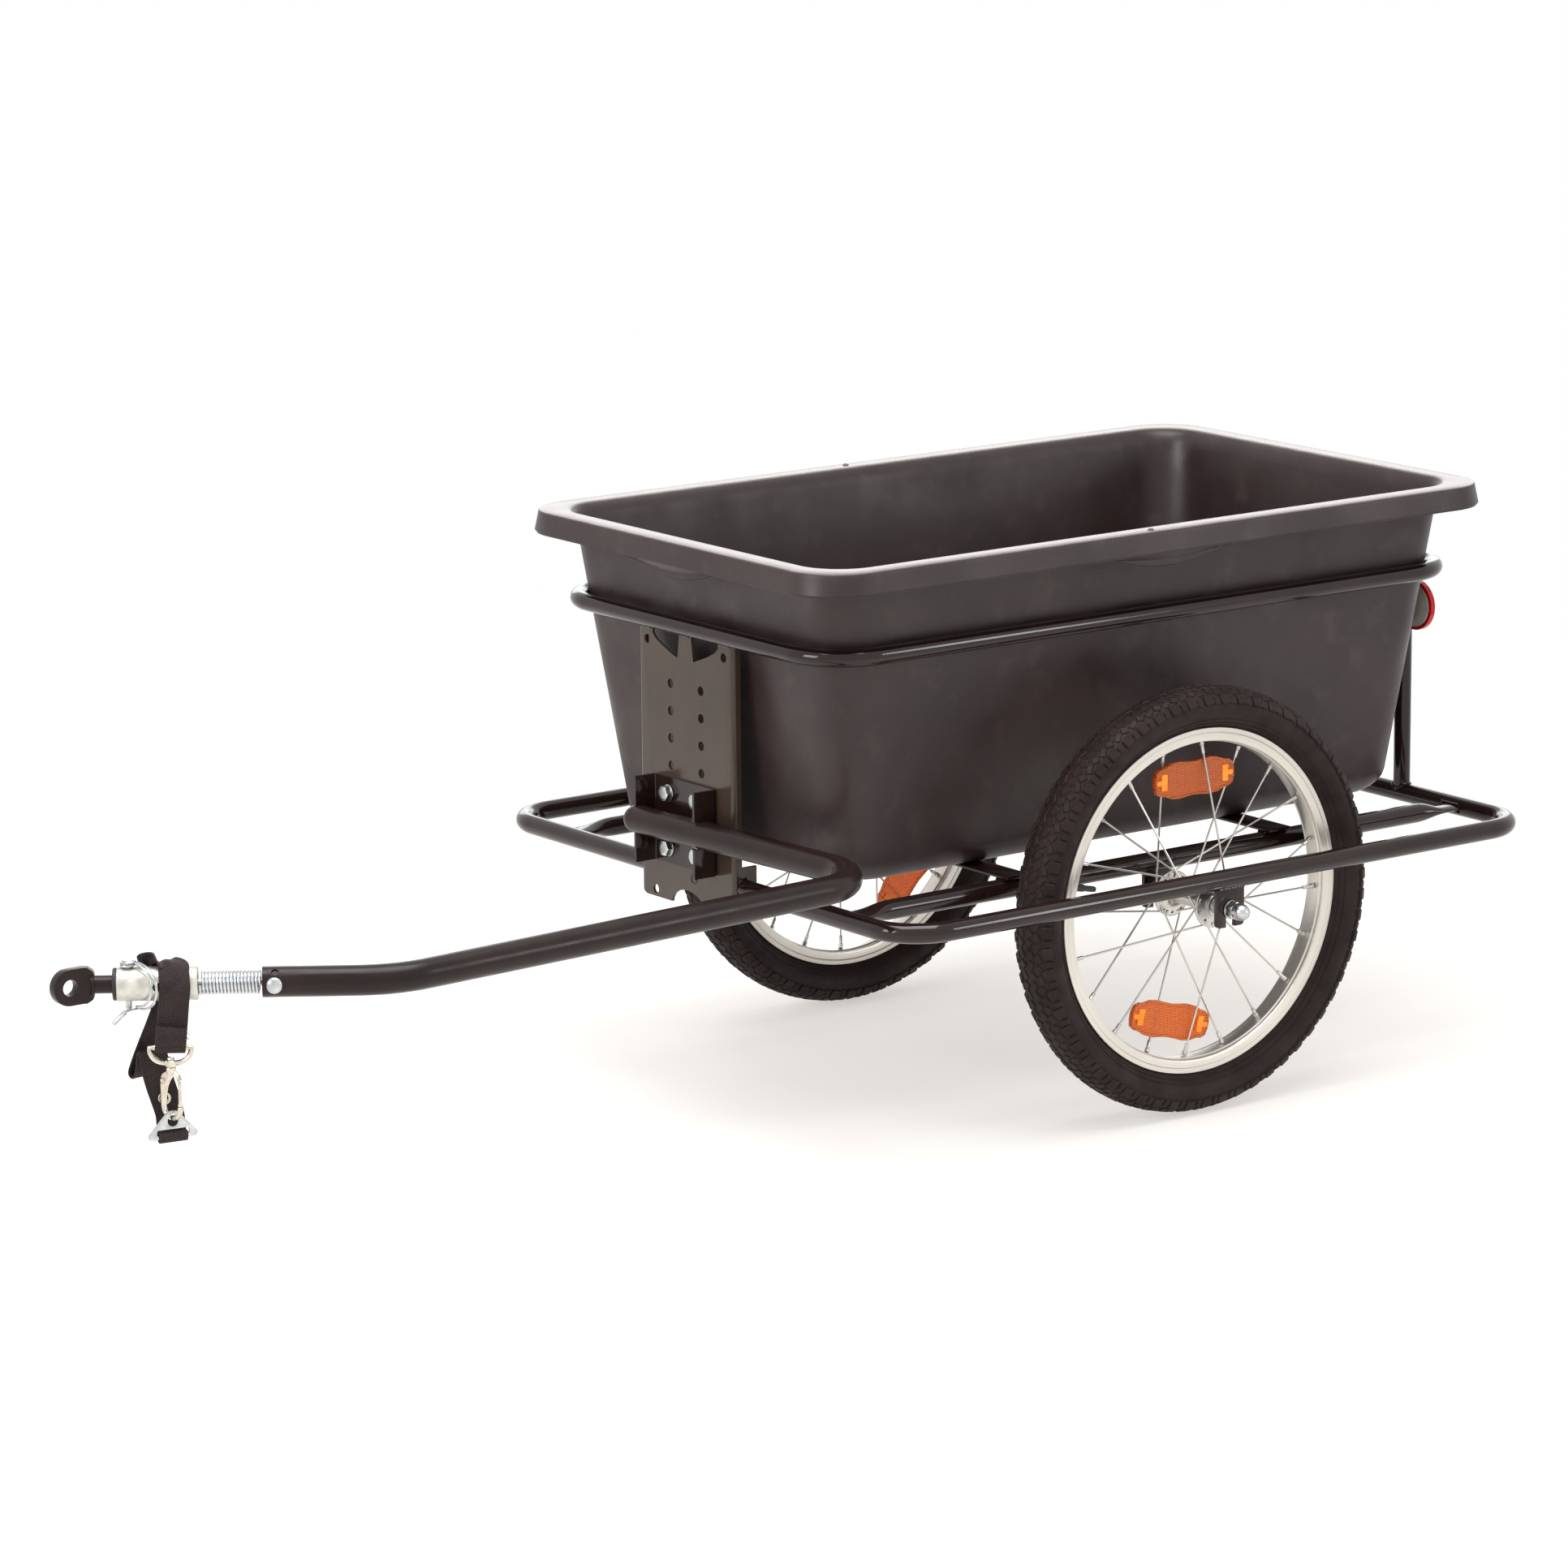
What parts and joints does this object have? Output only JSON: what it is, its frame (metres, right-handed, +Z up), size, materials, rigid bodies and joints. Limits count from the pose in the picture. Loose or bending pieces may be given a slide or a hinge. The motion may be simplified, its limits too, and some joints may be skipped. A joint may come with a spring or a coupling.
{
  "type": "bicycle cargo trailer",
  "caption": "Two-wheeled bicycle cargo trailer: bent tube frame, loose plastic tub, spoked wheels and an offset drawbar with a sprung coupling and a safety strap.",
  "frame": {"origin": "on the ground, under the middle of the whole trailer from the tub's rear rim to the hitch eye", "axes": "+X forward to the hitch eye, +Y to the trailer's left, +Z up"},
  "size_m": [1.5214, 0.6708, 0.5314],
  "materials": {
    "frame_paint": "gloss black enamel on steel",
    "drawbar_paint": "satin black powder coat on steel",
    "zinc": "bright zinc plating",
    "galvanised": "galvanised steel",
    "nickel": "nickel plating",
    "rim_alloy": "polished",
    "wheel_metal": "polished hub shell with zinc-plated spokes",
    "tyre": "moulded block tread",
    "inner_tube": "smooth",
    "tub_plastic": "moulded, lightly scuffed",
    "black_plastic": "moulded",
    "webbing": "woven polyester webbing",
    "amber_lens": "prismatic",
    "red_lens": "prismatic",
    "grey_plastic": "moulded"
  },
  "bodies": {
    "frame": {"lower_loop": "frame_paint", "upper_ring": "frame_paint", "inner_rail_left": "frame_paint", "inner_rail_right": "frame_paint", "cross_strip_front": "frame_paint", "cross_strip_rear": "frame_paint", "rear_strut_left": "frame_paint", "rear_strut_right": "frame_paint", "front_plate": "frame_paint", "drawbar_bracket": "frame_paint", "fork_plate_outer_left": "frame_paint", "fork_plate_inner_left": "frame_paint", "fork_plate_outer_right": "frame_paint", "fork_plate_inner_right": "frame_paint", "bracket_bolt_1": "zinc", "bracket_bolt_2": "zinc", "bracket_bolt_3": "zinc", "bracket_bolt_4": "zinc", "drawbar_cross_bolt": "zinc", "spring_plug": "zinc", "coupling_spring": "zinc", "axle_left": "zinc", "axle_nut_outer_left": "zinc", "axle_nut_inner_left": "zinc", "axle_right": "zinc", "axle_nut_outer_right": "zinc", "axle_nut_inner_right": "zinc", "drawbar_tube": "drawbar_paint", "rear_reflector_left": "red_lens", "rear_reflector_back_left": "grey_plastic", "rear_reflector_right": "red_lens", "rear_reflector_back_right": "grey_plastic"},
    "left_wheel": {"tyre_left": "tyre", "inner_tube_left": "inner_tube", "rim_left": "rim_alloy", "hub_with_spokes_left": "wheel_metal", "spoke_reflector_1_left": "amber_lens", "spoke_reflector_2_left": "amber_lens"},
    "right_wheel": {"tyre_right": "tyre", "inner_tube_right": "inner_tube", "rim_right": "rim_alloy", "hub_with_spokes_right": "wheel_metal", "spoke_reflector_1_right": "amber_lens", "spoke_reflector_2_right": "amber_lens"},
    "tub": {"tub": "tub_plastic"},
    "spring_core": {"core_bead": "zinc"},
    "coupling": {"spring_stud": "zinc", "coupling_sleeve": "galvanised", "sleeve_bush": "black_plastic", "hitch_stub": "drawbar_paint", "hitch_eye": "drawbar_paint", "linch_pin": "zinc", "safety_strap": "webbing", "strap_eyelet": "nickel", "strap_ring": "nickel", "triangle_link": "zinc"},
    "pin_bow": {"pin_bow": "zinc"},
    "snap_hook": {"snap_hook": "nickel"},
    "hook_gate": {"hook_gate": "nickel"}
  },
  "joints": [
    {"name": "left_wheel_spin", "type": "hinge", "parent": "frame", "child": "left_wheel", "pos_m": [-0.36999, 0.2595, 0.196], "axis": [0, 1, 0], "continuous": true},
    {"name": "right_wheel_spin", "type": "hinge", "parent": "frame", "child": "right_wheel", "pos_m": [-0.36999, -0.2595, 0.196], "axis": [0, 1, 0], "continuous": true},
    {"name": "tub_lift", "type": "slide", "parent": "frame", "child": "tub", "axis": [0, 0, 1], "range_m": [0, 0.35]},
    {"name": "coupling_yaw", "type": "hinge", "parent": "frame", "child": "spring_core", "pos_m": [0.63371, 0.24197, 0.272], "axis": [0, 0, 1], "range_deg": [-40, 40], "stiffness_Nm_per_rad": 40, "deforming": ["coupling_spring"]},
    {"name": "coupling_pitch", "type": "hinge", "parent": "spring_core", "child": "coupling", "pos_m": [0.63371, 0.24197, 0.272], "axis": [0.5678, 0.8231, 0], "range_deg": [-30, 30], "stiffness_Nm_per_rad": 40, "deforming": ["coupling_spring"]},
    {"name": "bow_swing", "type": "hinge", "parent": "coupling", "child": "pin_bow", "pos_m": [0.70162, 0.19513, 0.2895], "axis": [0.9917, 0.1288, 0], "range_deg": [0, 120]},
    {"name": "hook_swivel", "type": "hinge", "parent": "coupling", "child": "snap_hook", "pos_m": [0.68217, 0.22592, 0.209], "axis": [0, 0, 1], "range_deg": [-12, 12]},
    {"name": "gate_open", "type": "hinge", "parent": "snap_hook", "child": "hook_gate", "pos_m": [0.68036, 0.23576, 0.1953], "axis": [-0.9836, -0.1805, 0], "range_deg": [0, 14], "stiffness_Nm_per_rad": 0.02, "springref_deg": -17.19}
  ]
}
